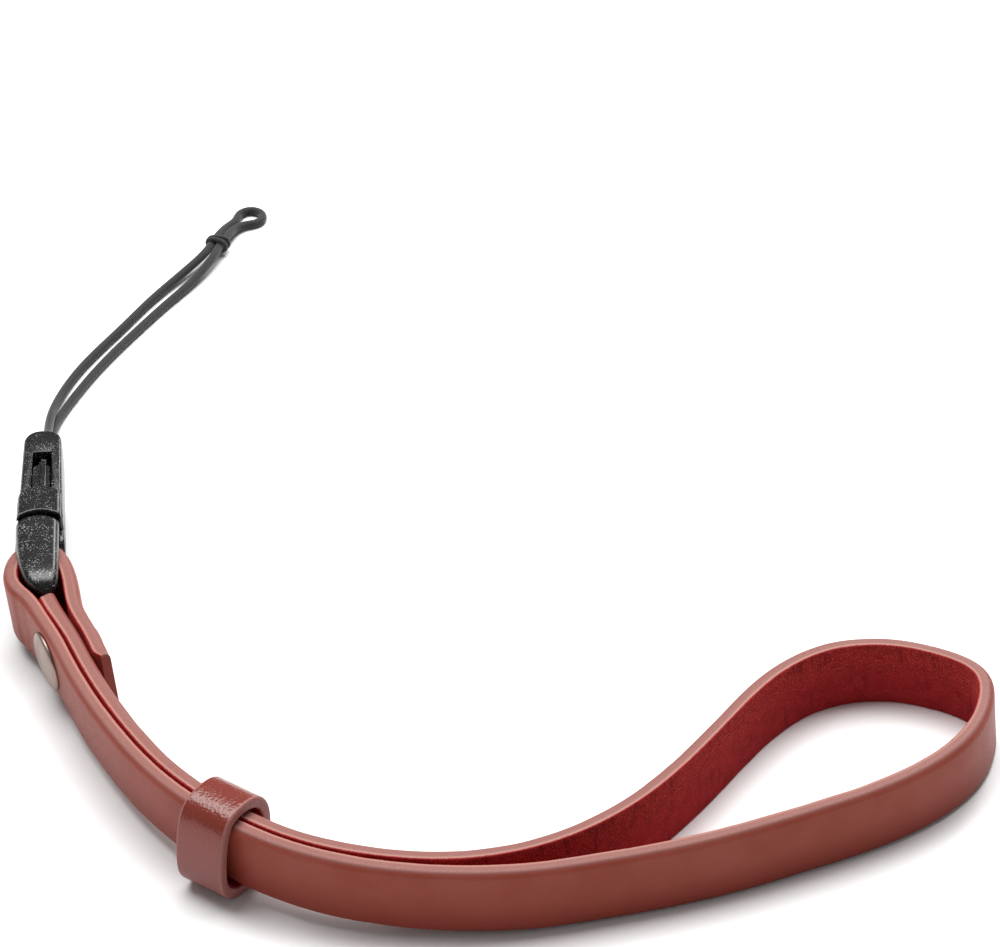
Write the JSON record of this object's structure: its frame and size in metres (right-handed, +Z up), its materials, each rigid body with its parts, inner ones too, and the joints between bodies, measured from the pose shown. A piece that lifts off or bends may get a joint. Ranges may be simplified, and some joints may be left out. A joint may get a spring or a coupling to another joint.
{
  "type": "camera wrist strap",
  "caption": "Leather wrist strap for a small camera: a folded band open in a wrist loop, with a keeper ring, a rivet, a side-release buckle and a thin cord loop.",
  "frame": {"origin": "on the surface the strap stands on, below the middle of the box round its band and buckle, the cord left out", "axes": "+Z up, across the band's width; +X from the buckle's side to the tight end of the wrist loop; +Y from the band's near side towards the cord"},
  "size_m": [0.1213, 0.157, 0.0127],
  "materials": {
    "leather": "satin grain outside, red suede inside",
    "keeper_leather": "satin, glossy over its bend",
    "nickel": "satin",
    "plastic": "fine texture, semi-gloss",
    "braid": "braided"
  },
  "bodies": {
    "root": {"strap_band": "leather", "keeper": "keeper_leather", "rivet_cap": "nickel", "rivet_post": "nickel", "buckle_socket": "plastic", "buckle_plug": "plastic", "cord": "braid", "cord_hitch": "braid"}
  },
  "joints": []
}
